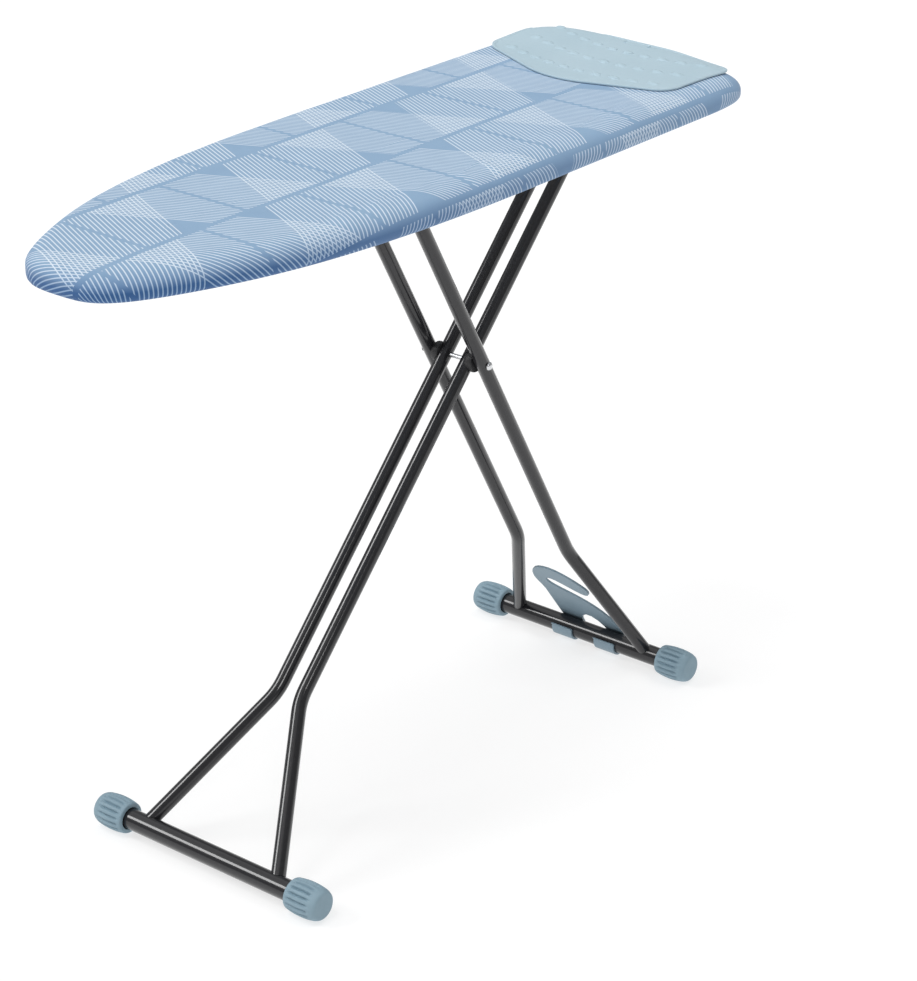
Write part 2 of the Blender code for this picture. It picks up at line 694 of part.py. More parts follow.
def make_axle(axis):
    """The scissor axle, its rivet heads, and the plastic saddles between the tubes."""
    along = -PIVOT_TO_AXLE
    half_length = LEG_B_OUTER + GAP
    axle = rod("scissor_axle", AXLE_RADIUS, 2 * half_length, 16)
    place(axle, bright_steel, (along, 0, 0), ALONG_Y, axis)
    head_radius = 0.0055
    head_height = 0.0032
    head_profile = [(0, head_height), (0.0025, head_height - 0.0003), (0.0045, head_height - 0.0013),
                    (head_radius, 0.0006), (head_radius, 0), (0, 0)]
    inner = LEG_A_SPREAD + 0.0035
    outer = LEG_B_SPREAD - LEG_RADIUS - GAP
    spacer_radius = 0.0135
    for word, side in (("near", -1), ("far", 1)):
        head = turned("axle_head_" + word, head_profile, 16)
        seat = side * (half_length + GAP)
        place(head, bright_steel, (along, seat, 0), (math.radians(-90 * side), 0, 0), axis)
        spacer = rod("axle_spacer_" + word, spacer_radius, outer - inner)
        soften(spacer, 0.002, 2)
        tube_space = rod(spacer.name + "_saddle", LEG_RADIUS + GAP, 6 * spacer_radius)
        cut(spacer, as_cutter(tube_space, (along, side * LEG_A_SPREAD, 0), ALONG_X, axis))
        bore = rod(spacer.name + "_bore", AXLE_RADIUS + GAP, 6 * spacer_radius, 16)
        cut(spacer, as_cutter(bore, (along, side * outer, 0), ALONG_Y, axis))
        place(spacer, black_plastic, (along, side * (inner + outer) / 2, 0), ALONG_Y, axis)


def make_leg_b(axis):
    """The outer leg, in a frame on the scissor axle whose X runs down the leg to its foot."""
    foot = AXLE_TO_FOOT_B
    top = -AXLE_TO_CROSSBAR
    for name, side in (("leg_b_tube_near", -1), ("leg_b_tube_far", 1)):
        corners = [(foot, side * LEG_B_FOOT_SPREAD, 0), (foot - LEG_B_SPLAY, side * LEG_B_SPREAD, 0),
                   (top + CROSSBAR_BEND, side * LEG_B_SPREAD, 0),
                   (top, side * LEG_B_SPREAD, CROSSBAR_RISE)]
        ends = [(foot, 0, FOOT_BAR_RADIUS + GAP), (top, CROSSBAR_RISE, CROSSBAR_RADIUS + GAP)]
        make_leg_tube(name, corners, axis, ends, [(0, 0, AXLE_RADIUS + GAP)])
    make_foot_bar("foot_bar_b", foot, axis)
    for name, side in (("foot_cap_b_near", -1), ("foot_cap_b_far", 1)):
        make_foot_cap(name, foot, side, ANGLE_B, axis)
    roller_start = LEG_B_OUTER + 0.0006
    crossbar = rod("crossbar", CROSSBAR_RADIUS, 2 * (roller_start + ROLLER_WIDTH), 16)
    place(crossbar, black_paint, (top, 0, CROSSBAR_RISE), ALONG_Y, axis)
    bore = CROSSBAR_RADIUS + GAP
    half = ROLLER_WIDTH / 2
    profile = [(ROLLER_RADIUS, half), (ROLLER_RADIUS, -half), (bore, -half), (bore, half)]
    for name, side in (("roller_near", -1), ("roller_far", 1)):
        roller = turned(name, profile, 16)
        place(roller, black_plastic, (top, side * (roller_start + half), CROSSBAR_RISE), ALONG_Y, axis)


# ---------------------------------------------------------------- hanger
def hook_outline():
    """The flat hook in (up from the foot bar, across): a tapering shank, and an eye with a mouth."""
    left = HOOK_HALF_SPAN["far"]
    right = -HOOK_HALF_SPAN["near"]
    foot = -0.010
    shank_top = (0.072, left)
    swell = (0.104, 0.049)
    crown = (0.144, 0.008)
    arm_end = (0.115, -0.045)
    arm_tip = (0.095, -0.036)
    eye_top = (0.1135, 0.015)
    eye_side = (0.102, 0.0275)
    mouth = (0.079, -0.016)
    shoulder = (0.012, right)
    notch_middle = -0.0135
    notch_half = 0.0215
    notch_depth = 0.038

    curves = [
        bezier(shank_top, (0.085, 0.043), (0.092, 0.050), swell, 3),
        bezier(swell, (0.130, 0.047), (0.144, 0.028), crown, 6),
        bezier(crown, (0.144, -0.014), (0.126, -0.036), arm_end, 6),
        bezier(arm_end, (0.107, -0.050), (0.096, -0.044), arm_tip, 4),
        bezier(arm_tip, (0.094, -0.022), (0.113, 0.000), eye_top, 6),
        bezier(eye_top, (0.1135, 0.024), (0.108, 0.0285), eye_side, 4),
        bezier(eye_side, (0.093, 0.026), (0.088, 0.004), mouth, 5),
        bezier(mouth, (0.068, -0.040), (0.050, -0.060), shoulder, 6),
    ]
    outline = [(foot, left)] + [(float(up), float(across)) for up, across in np.vstack(curves)]
    outline += [shoulder, (foot, right)]
    for angle in np.radians(np.linspace(0, 180, 8)):
        outline.append((foot + notch_depth * math.sin(angle),
                        notch_middle - notch_half * math.cos(angle)))
    return outline


def clip_outline():
    """A spring clip round the foot bar, open at the side, with a flared lip."""
    inner = FOOT_BAR_RADIUS + GAP
    outer = inner + 0.0028
    bottom = 262
    lip_start = 44
    lip_end = 37
    lip_root = 40
    outline = arc((0, 0), outer, bottom, lip_start, 16)
    outline += arc((0, 0), outer + 0.0032, lip_end, lip_end - 1, 1)
    outline += arc((0, 0), outer + 0.0012, lip_end - 2, lip_end - 3, 1)
    outline += arc((0, 0), inner, lip_root, bottom, 16)
    return outline


def make_hanger_hook(axis):
    """A flat question-mark hook with two spring clips that snap round the foot bar."""
    hook = plate("hanger_hook", hook_outline(), HOOK_THICKNESS)
    plate_height = -(FOOT_BAR_RADIUS + GAP + HOOK_THICKNESS / 2)
    hook_object = place(hook, blue_plastic, (0, 0, plate_height), parent=axis)
    clip_width = 0.034
    clip_middles = {
        "near": clip_width / 2 - HOOK_HALF_SPAN["near"],
        "far": HOOK_HALF_SPAN["far"] - clip_width / 2,
    }
    for word, middle in clip_middles.items():
        clip = plate("hook_clip_" + word, clip_outline(), clip_width)
        union = hook_object.modifiers.new("join_clip_" + word, "BOOLEAN")
        union.object = as_cutter(clip, (0, middle, 0), ALONG_Y, axis)
        union.operation = "UNION"
        union.solver = "EXACT"
    return hook_object


# ---------------------------------------------------------------- the whole board
def make_board():
    make_cover()
    make_pad()
    make_mat()
    make_mat_strap()
    make_panel()
    make_rim()
    make_ribs()
    make_guide_rail("guide_rail_near", -1)
    make_guide_rail("guide_rail_far", 1)
    make_height_rack()
    make_pivot_bracket()
    make_pivot_rod()


def make_height_release():
    make_lever_bracket()
    make_lever_pin()
    make_lever_spring()
    axis = add_empty("release_lever_axis", LEVER_PIVOT_STATION, LEVER_Y, LEVER_PIVOT_HEIGHT, 0)
    make_release_lever(axis)
    make_lever_grip(axis)
    make_release_rod()
    make_rod_guides()


def make_legs():
    axis_a = add_empty("leg_a_axis", PIVOT_STATION, 0, LEG_TOP_HEIGHT, -ANGLE_A)
    make_leg_a(axis_a)
    make_axle(axis_a)
    axis_b = add_empty("leg_b_axis", AXLE_STATION, 0, AXLE_HEIGHT, ANGLE_B)
    make_leg_b(axis_b)
    hook_axis = add_empty("hook_axis", FOOT_B_STATION, 0, FOOT_HEIGHT, -math.radians(HOOK_TILT))
    make_hanger_hook(hook_axis)


clear_scene()
parts = new_collection(COLLECTION)
cutters = new_collection(COLLECTION + "_cutters")
blue_cloth = make_material("blue_cloth", (0.24, 0.40, 0.62), 0.85)
foam = make_material("foam", (0.85, 0.85, 0.82), 0.95)
silicone = make_material("silicone", (0.45, 0.60, 0.66), 0.45)
grey_steel = make_material("grey_steel", (0.45, 0.46, 0.48), 0.35, 0.8)
bright_steel = make_material("bright_steel", (0.75, 0.76, 0.78), 0.25, 1.0)
black_paint = make_material("black_paint", (0.015, 0.015, 0.017), 0.25)
black_plastic = make_material("black_plastic", (0.02, 0.02, 0.02), 0.5)
blue_rubber = make_material("blue_rubber", (0.25, 0.38, 0.45), 0.6)
blue_plastic = make_material("blue_plastic", (0.27, 0.40, 0.52), 0.4)
make_board()
make_height_release()
make_legs()
for spare in (blue_cloth, foam, silicone, grey_steel, bright_steel, black_paint, black_plastic,
              blue_rubber, blue_plastic):
    bpy.data.materials.remove(spare)
bpy.context.view_layer.update()
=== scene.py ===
"""Finishes and soft parts of a folding ironing board, built round its CAD frame.

Lengths are metres. Stations are distances from the nose tip of the board along +X, and the world's
X is a station less MIDDLE_STATION. Cloth places are (station, distance across) on the flat fabric.
"""
import json
import math

import bmesh
import bpy
import numpy as np
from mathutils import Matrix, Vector, noise


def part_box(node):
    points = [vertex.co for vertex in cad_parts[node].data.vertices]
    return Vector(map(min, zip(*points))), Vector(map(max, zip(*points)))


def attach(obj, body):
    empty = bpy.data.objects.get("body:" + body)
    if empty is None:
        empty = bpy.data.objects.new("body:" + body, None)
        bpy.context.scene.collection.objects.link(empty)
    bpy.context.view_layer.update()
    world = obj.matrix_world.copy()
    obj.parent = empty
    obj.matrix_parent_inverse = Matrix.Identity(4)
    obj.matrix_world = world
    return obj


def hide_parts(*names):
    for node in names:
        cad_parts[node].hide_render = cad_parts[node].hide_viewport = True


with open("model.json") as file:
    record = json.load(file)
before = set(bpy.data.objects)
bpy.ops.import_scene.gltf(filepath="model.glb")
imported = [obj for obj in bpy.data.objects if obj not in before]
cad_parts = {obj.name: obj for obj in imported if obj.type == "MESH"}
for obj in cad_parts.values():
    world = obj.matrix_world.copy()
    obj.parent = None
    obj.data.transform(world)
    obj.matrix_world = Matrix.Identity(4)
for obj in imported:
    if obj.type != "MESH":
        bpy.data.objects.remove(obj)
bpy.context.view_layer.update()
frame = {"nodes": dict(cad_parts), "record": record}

# ---------------------------------------------------------------- driving dimensions
BOARD_LENGTH = 1.10
BOARD_WIDTH = 0.36
TOP_HEIGHT = 0.846
COVERED_THICKNESS = 0.032
STRAP_REACH = 0.0028          # strap beyond the square end
MIDDLE_STATION = (BOARD_LENGTH + STRAP_REACH) / 2
HEM_HEIGHT = TOP_HEIGHT - COVERED_THICKNESS
CLOTH_TOP = TOP_HEIGHT - 0.0002
SPINE_MARGIN = 0.075          # from the ends of the board to the middle line of its rows

PRINT_COLUMN = 0.141          # width of one printed column
PRINT_COLUMN_EDGE = -0.033    # a gap line between columns, across the board
PRINT_HALF_HEIGHT = 0.0665    # half the printed width of a column
PRINT_REPEAT = 0.3175         # repeat of the print along a column
PRINT_START = 0.0325          # station of the first plain triangle
PRINT_BAND = 0.180            # width of a hatched band
PRINT_LEAN = 0.032            # sideways run of a band over half a column
PRINT_LINE = 0.00602          # pitch of the hatch lines along the board
PRINT_LINE_SHARE = 0.27       # inked share of that pitch
PRINT_CROSS_GAP = 0.006       # plain gap across the middle of a band
THREAD = 0.0007               # pitch of the weave


def x_at(station):
    """World X of a station."""
    return station - MIDDLE_STATION


# ---------------------------------------------------------------- material graphs
class Graph:
    """A material's node tree, built from short calls that take sockets or numbers."""

    def __init__(self, name, roughness=0.5, metallic=0.0, coat=0.0, coat_roughness=0.1, sheen=0.0):
        self.material = bpy.data.materials.new(name)
        self.material.use_nodes = True
        self.tree = self.material.node_tree
        self.shader = self.tree.nodes["Principled BSDF"]
        values = {"Roughness": roughness, "Metallic": metallic, "Coat Weight": coat,
                  "Coat Roughness": coat_roughness, "Sheen Weight": sheen}
        for socket, value in values.items():
            self.shader.inputs[socket].default_value = value

    def node(self, kind, **settings):
        """A new shader node with some of its settings."""
        made = self.tree.nodes.new("ShaderNode" + kind)
        for key, value in settings.items():
            setattr(made, key, value)
        return made

    def connect(self, value, socket):
        """Links a socket, or sets a plain number."""
        if isinstance(value, bpy.types.NodeSocket):
            self.tree.links.new(value, socket)
        else:
            socket.default_value = value

    def connect_colour(self, value, socket):
        """Links a socket, or sets a plain red, green and blue."""
        self.connect(value if isinstance(value, bpy.types.NodeSocket) else (*value, 1.0), socket)

    def math(self, operation, *values):
        """The result of a Math node."""
        made = self.node("Math", operation=operation)
        for value, socket in zip(values, made.inputs):
            self.connect(value, socket)
        return made.outputs[0]

    def mix(self, factor, first, second):
        """A colour between two colours."""
        made = self.node("Mix", data_type="RGBA")
        self.connect(factor, made.inputs[0])
        self.connect_colour(first, made.inputs[6])
        self.connect_colour(second, made.inputs[7])
        return made.outputs[2]

    def remap(self, value, start, end, low=0.0, high=1.0):
        """A value moved from one range to another, and kept inside it."""
        made = self.node("MapRange")
        for item, socket in zip((value, start, end, low, high), made.inputs):
            self.connect(item, socket)
        return made.outputs[0]

    def place(self):
        """Object coordinates, which are metres in the frame."""
        return self.node("TexCoord").outputs["Object"]

    def parts_of(self, vector):
        """The X, Y and Z of a vector."""
        made = self.node("SeparateXYZ")
        self.connect(vector, made.inputs[0])
        return made.outputs

    def stretched(self, vector, scale):
        """Coordinates scaled apart along their axes."""
        made = self.node("Mapping")
        self.connect(vector, made.inputs["Vector"])
        made.inputs["Scale"].default_value = scale
        return made.outputs[0]

    def noise(self, vector, scale, detail=3.0):
        """Noise from 0 to 1, with its features about 1 / scale apart."""
        made = self.node("TexNoise")
        self.connect(vector, made.inputs["Vector"])
        made.inputs["Scale"].default_value = scale
        made.inputs["Detail"].default_value = detail
        return made.outputs["Fac"]

    def bump(self, height, strength, distance):
        """Fine relief on the whole surface."""
        made = self.node("Bump")
        made.inputs["Strength"].default_value = strength
        made.inputs["Distance"].default_value = distance
        self.connect(height, made.inputs["Height"])
        self.tree.links.new(made.outputs[0], self.shader.inputs["Normal"])

    def colour(self, value):
        """Sets the surface's colour."""
        self.connect_colour(value, self.shader.inputs["Base Color"])

    def roughness(self, value, low, high):
        """Roughness that follows the middle of a noise's range."""
        self.connect(self.remap(value, 0.3, 0.7, low, high), self.shader.inputs["Roughness"])


def stripes(graph, value, pitch, share):
    """1 on stripes that take up a share of each pitch, with softened edges."""
    softness = 0.06
    phase = graph.math("FRACT", graph.math("DIVIDE", value, pitch))
    from_middle = graph.math("ABSOLUTE", graph.math("SUBTRACT", phase, 0.5))
    return graph.remap(from_middle, share / 2 - softness, share / 2 + softness, 1.0, 0.0)


def cover_print(graph, station, across):
    """How much of the pale hatch shows: leaning bands in columns, every other one shifted."""
    half, quarter = PRINT_REPEAT / 2, PRINT_REPEAT / 4
    column = graph.math("DIVIDE", graph.math("SUBTRACT", across, PRINT_COLUMN_EDGE), PRINT_COLUMN)
    number = graph.math("FLOOR", column)
    within = graph.math("SUBTRACT", graph.math("SUBTRACT", column, number), 0.5)
    height = graph.math("MULTIPLY", within, PRINT_COLUMN / PRINT_HALF_HEIGHT)
    odd = graph.math("PINGPONG", number, 1.0)
    shift = graph.math("MULTIPLY_ADD", odd, 3 * quarter, PRINT_START)
    along = graph.math("SUBTRACT", station, shift)
    lean = graph.math("MULTIPLY", height, PRINT_LEAN)
    bands = []
    for side, leaning_way in ((1, "SUBTRACT"), (-1, "ADD")):
        offset = graph.math("SUBTRACT", along, side * quarter)
        leaning = graph.math(leaning_way, offset, lean)
        from_middle = graph.math("ABSOLUTE", graph.math("WRAP", leaning, half, -half))
        inside = graph.math("LESS_THAN", from_middle, PRINT_BAND / 2)
        lines = stripes(graph, leaning, PRINT_LINE, PRINT_LINE_SHARE)
        bands.append(graph.math("MULTIPLY", lines, inside))
    hatch = graph.math("MAXIMUM", *bands)
    from_gap = graph.math("WRAP", graph.math("SUBTRACT", along, quarter), quarter, -quarter)
    clear = graph.math("GREATER_THAN", graph.math("ABSOLUTE", from_gap), PRINT_CROSS_GAP / 2)
    in_column = graph.math("LESS_THAN", graph.math("ABSOLUTE", height), 1.0)
    return graph.math("MULTIPLY", hatch, graph.math("MULTIPLY", clear, in_column))


# ---------------------------------------------------------------- materials
def make_cover_cloth():
    """Printed cotton: the hatch, a plain weave, faint uneven dye, and painted shade: a deeper blue
    low on its side, strongest at the nose.
    """
    graph = Graph("printed_cotton", roughness=0.85, sheen=0.15)
    cloth = graph.node("UVMap", uv_map="cloth").outputs[0]
    station, across, _ = graph.parts_of(cloth)
    ink = cover_print(graph, station, across)
    uneven = graph.noise(cloth, 28.0, 4.0)
    base = graph.mix(uneven, (0.220, 0.358, 0.530), (0.270, 0.418, 0.595))
    line = graph.mix(uneven, (0.66, 0.75, 0.84), (0.74, 0.82, 0.90))
    height = graph.parts_of(graph.place())[2]
    # Painted shade: down the side wall the cloth and its hatch darken to a deeper blue, most towards
    # the nose.
    side = graph.remap(height, TOP_HEIGHT - 0.002, TOP_HEIGHT - 0.020)
    painted_side_shade = graph.math("MULTIPLY", side, graph.remap(station, 0.10, 0.80, 1.0, 0.35))
    base = graph.mix(painted_side_shade, base, (0.030, 0.110, 0.290))
    line = graph.mix(painted_side_shade, line, (0.28, 0.42, 0.62))
    graph.colour(graph.mix(ink, base, line))
    warp = graph.math("SINE", graph.math("MULTIPLY", station, math.tau / THREAD))
    weft = graph.math("SINE", graph.math("MULTIPLY", across, math.tau / THREAD))
    weave = graph.math("MULTIPLY_ADD", graph.math("MULTIPLY", warp, weft), 0.5, 0.5)
    graph.bump(graph.math("ADD", weave, graph.math("MULTIPLY", ink, 0.3)), 0.35, 0.0002)
    return graph.material


def make_silicone():
    """Pale blue-grey silicone, a little cloudy, with a fine satin grain."""
    graph = Graph("silicone_rubber", roughness=0.48, sheen=0.1)
    place = graph.place()
    cloudy = graph.noise(place, 14.0)
    graph.colour(graph.mix(cloudy, (0.41, 0.555, 0.635), (0.47, 0.61, 0.69)))
    graph.roughness(graph.noise(place, 160.0), 0.42, 0.58)
    graph.bump(graph.noise(place, 1400.0, 2.0), 0.25, 0.0002)
    return graph.material


def make_rubber():
    """Blue-grey rubber with a fine grain."""
    graph = Graph("blue_grey_rubber", roughness=0.6)
    place = graph.place()
    cloudy = graph.noise(place, 60.0, 4.0)
    graph.colour(graph.mix(cloudy, (0.205, 0.305, 0.370), (0.265, 0.38, 0.450)))
    graph.bump(graph.noise(place, 900.0), 0.3, 0.0002)
    return graph.material


def make_hook_plastic():
    """Blue-grey moulded plastic, faintly cloudy, with a satin surface."""
    graph = Graph("blue_grey_plastic", roughness=0.42)
    place = graph.place()
    cloudy = graph.noise(place, 40.0)
    graph.colour(graph.mix(cloudy, (0.20, 0.285, 0.345), (0.235, 0.325, 0.39)))
    graph.bump(graph.noise(place, 1200.0, 2.0), 0.2, 0.0001)
    return graph.material


def make_black_paint():
    """Gloss powder coat with a faint orange-peel texture and dust on it."""
    graph = Graph("gloss_black_paint", roughness=0.32, coat=0.9, coat_roughness=0.10)
    graph.shader.inputs["Specular IOR Level"].default_value = 0.15
    place = graph.place()
    dust = graph.noise(place, 220.0, 4.0)
    graph.colour(graph.mix(dust, (0.008, 0.008, 0.010), (0.020, 0.020, 0.023)))
    graph.bump(graph.noise(place, 260.0, 2.0), 0.03, 0.0002)
    return graph.material


def make_grey_steel():
    """Painted pressed steel, silver grey, slightly mottled."""
    graph = Graph("grey_painted_steel", roughness=0.38, metallic=0.55)
    place = graph.place()
    mottle = graph.noise(place, 90.0, 5.0)
    graph.colour(graph.mix(mottle, (0.36, 0.37, 0.39), (0.50, 0.51, 0.53)))
    graph.roughness(mottle, 0.30, 0.46)
    graph.bump(graph.noise(place, 700.0), 0.15, 0.0002)
    return graph.material


def make_bright_steel():
    """Zinc-plated steel with fine turning lines."""
    graph = Graph("plated_steel", roughness=0.25, metallic=1.0)
    lines = graph.noise(graph.stretched(graph.place(), (1.0, 12.0, 1.0)), 260.0)
    graph.colour(graph.mix(lines, (0.60, 0.61, 0.63), (0.82, 0.83, 0.84)))
    graph.roughness(lines, 0.18, 0.34)
    graph.bump(lines, 0.1, 0.0001)
    return graph.material


def make_black_plastic():
    """Black moulded plastic with a spark-eroded grain."""
    graph = Graph("black_moulded_plastic", roughness=0.48)
    place = graph.place()
    cloudy = graph.noise(place, 30.0)
    graph.colour(graph.mix(cloudy, (0.012, 0.012, 0.013), (0.026, 0.026, 0.028)))
    graph.bump(graph.noise(place, 1500.0, 2.0), 0.35, 0.0002)
    return graph.material


def make_foam():
    """Cream open-cell foam."""
    graph = Graph("open_cell_foam", roughness=0.95, sheen=0.2)
    cells = graph.node("TexVoronoi")
    graph.connect(graph.place(), cells.inputs["Vector"])
    cells.inputs["Scale"].default_value = 900.0
    distance = cells.outputs["Distance"]
    graph.colour(graph.mix(distance, (0.50, 0.49, 0.44), (0.78, 0.76, 0.70)))
    graph.bump(distance, 0.6, 0.0006)
    return graph.material


# ---------------------------------------------------------------- mesh helpers
def finish_object(name, builder, material, body, smooth_degrees=45):
    """The builder's mesh as a named piece with its material, riding on a body."""
    bmesh.ops.recalc_face_normals(builder, faces=builder.faces)
    mesh = bpy.data.meshes.new(name)
    builder.to_mesh(mesh)
    builder.free()
    mesh.materials.append(material)
    mesh.shade_smooth()
    mesh.set_sharp_from_angle(angle=math.radians(smooth_degrees))
    piece = bpy.data.objects.new(name, mesh)
    bpy.context.scene.collection.objects.link(piece)
    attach(piece, body)
    return piece


def loft(rings, caps=(False, False), cloth=None):
    """A mesh through closed rings of points. Cloth gives each point its place on the flat fabric."""
    builder = bmesh.new()
    rows = [[builder.verts.new(point) for point in ring] for ring in rings]
    layer = builder.loops.layers.uv.new("cloth") if cloth is not None else None
    count = len(rings[0])
    for r in range(len(rows) - 1):
        for i in range(count):
            j = (i + 1) % count
            corners = [(r, i), (r + 1, i), (r + 1, j), (r, j)]
            face = builder.faces.new([rows[a][b] for a, b in corners])
            if layer is not None:
                for loop, (a, b) in zip(face.loops, corners):
                    loop[layer].uv = cloth[a][b]
    for capped, row in zip(caps, (rows[0], rows[-1])):
        if capped:
            builder.faces.new(row)
    return builder


def weld(builder):
    """Joins points that coincide, and removes the faces that this empties."""
    distance = 0.00001
    bmesh.ops.dissolve_degenerate(builder, dist=distance / 10, edges=builder.edges)
    bmesh.ops.remove_doubles(builder, verts=builder.verts, dist=distance)
    return builder


def ring_at(flat, heights):
    """World points for places in stations, each at its height."""
    return [(x_at(p[0]), p[1], height) for p, height in zip(flat, heights)]


# ---------------------------------------------------------------- board outline
def bezier(start, start_handle, end_handle, end, steps):
    """Points of a cubic curve, without its end point."""
    share = np.linspace(0, 1, steps, endpoint=False)[:, None]
    corners = [np.array(p, float) for p in (start, start_handle, end_handle, end)]
    return ((1 - share) ** 3 * corners[0] + 3 * (1 - share) ** 2 * share * corners[1]
            + 3 * (1 - share) * share ** 2 * corners[2] + share ** 3 * corners[3])


def evenly(points, count):
    """The line through the points, as count + 1 points at even distances along it."""
    steps = np.linalg.norm(np.diff(points, axis=0), axis=1)
    along = np.concatenate([[0], np.cumsum(steps)])
    wanted = np.linspace(0, along[-1], count + 1)
    return np.column_stack([np.interp(wanted, along, points[:, k]) for k in range(points.shape[1])])


def mirrored(half):
    """A closed loop from its +Y half, which starts and ends on the middle line."""
    return np.vstack([half, half[-2:0:-1] * (1, -1)])


def inward_of(loop):
    """Unit vectors into a clockwise loop."""
    tangent = np.roll(loop, -1, axis=0) - np.roll(loop, 1, axis=0)
    tangent /= np.linalg.norm(tangent, axis=1)[:, None]
    return np.column_stack([tangent[:, 1], -tangent[:, 0]])


def board_loop(count):
    """The covered board's outline in stations, as an even closed loop of 2 * count points."""
    half = BOARD_WIDTH / 2
    shoulder = np.array((0.102, 0.111))
    slope_angle = math.radians(22.4)
    slope = np.array((math.cos(slope_angle), math.sin(slope_angle)))
    widest = np.array((0.66, half))
    corner = np.array((0.97, half))
    end = np.array((BOARD_LENGTH, 0.0))
    dense = np.vstack([
        bezier((0, 0), (0, 0.045), shoulder - slope * 0.109, shoulder, 60),
        bezier(shoulder, shoulder + slope * 0.174, widest - (0.24, 0), widest, 80),
        bezier(widest, widest + (0.1, 0), corner - (0.1, 0), corner, 40),
        bezier(corner, corner + (0.12, 0), end + (0, 0.165), end, 80),
        [end],
    ])
    return mirrored(evenly(dense, count))


def spine_of(loop, margin):
    """For each point of a loop, its partner on the middle line, kept a margin from the ends."""
    low, high = loop[:, 0].min(), loop[:, 0].max()
    share = (loop[:, 0] - low) / (high - low)
    spine = np.zeros_like(loop)
    spine[:, 0] = low + margin + share * (high - low - 2 * margin)
    return spine


def smooth_step(value, start, end):
    """0 before the start, 1 after the end, and smooth between them."""
    share = np.clip((value - start) / (end - start), 0, 1)
    return share * share * (3 - 2 * share)


# ---------------------------------------------------------------- cover
COVER_HALF_POINTS = 300
COVER_TOP_ROWS = 44
COVER_EDGE_ROWS = 12
COVER_SIDE_ROWS = 6
COVER_TURN_ROWS = 4
COVER_HEM_ROWS = 7
COVER_BEAD_ROWS = 6
CLOTH_THICKNESS = 0.0008
CREASE_LOW = -0.0016
CREASE_HIGH = 0.0020
NOSE_DROP = 0.0045
HEM_DEPTH = 0.027             # reach of the hem under the board
HEM_SAG = 0.0012
BEAD_RADIUS = 0.0016          # rolled edge of the hem
BEAD_STEP = math.radians(40)
GATHER_TURNS = 34.0           # how densely the hem is gathered


def edge_shape(loop):
    """How far in and how deep the cover rounds over at each point, and its radius underneath."""
    nose = 1 - smooth_step(loop[:, 0], 0.02, 0.16)
    near = smooth_step(-loop[:, 1], -0.02, 0.08)
    front_half = 1 - smooth_step(loop[:, 0], 0.30, 0.55)
    reach = 0.012 + 0.030 * near + (0.014 - 0.008 * near) * nose
    depth = 0.009 + 0.012 * near + 0.004 * (1 - near) * nose
    under = 0.006 + 0.003 * front_half
    return reach, depth, under


def nose_drop(flat):
    """How much lower the pad is towards the near side of the nose."""
    ahead = 1 - smooth_step(flat[:, 0], 0.0, 0.11)
    near = 1 - smooth_step(flat[:, 1], -0.06, 0.05)
    return NOSE_DROP * ahead * near


def crease_height(place):
    """Height of the soft creases at a place on the cover's top, strongest by the near edge."""
    x, y = place
    slow = noise.noise(Vector((x * 9.0, y * 14.0, 3.7)))
    fine = noise.noise(Vector((x * 31.0, y * 24.0, 9.1)))
    near_edge = float(smooth_step(np.array(-y), 0.09, 0.150))
    pull = noise.noise(Vector((x * 26.0 + y * 30.0, y * 5.0, 1.3)))
    fold = 1 - abs(noise.noise(Vector((x * 17.0 - y * 60.0, y * 9.0, 5.9)))) * 4.0
    clear_of_mat = 1 - float(smooth_step(np.array(x), 0.84, 0.89))
    soft = 0.0006 * slow + 0.0003 * fine
    return (soft + near_edge * (0.0022 * pull + 0.0016 * max(fold, 0.0))) * clear_of_mat


def creases(flat):
    """The creases' heights at places on the cover's top, kept within the cloth's slack."""
    return np.clip(np.array([crease_height(place) for place in flat]), CREASE_LOW, CREASE_HIGH)


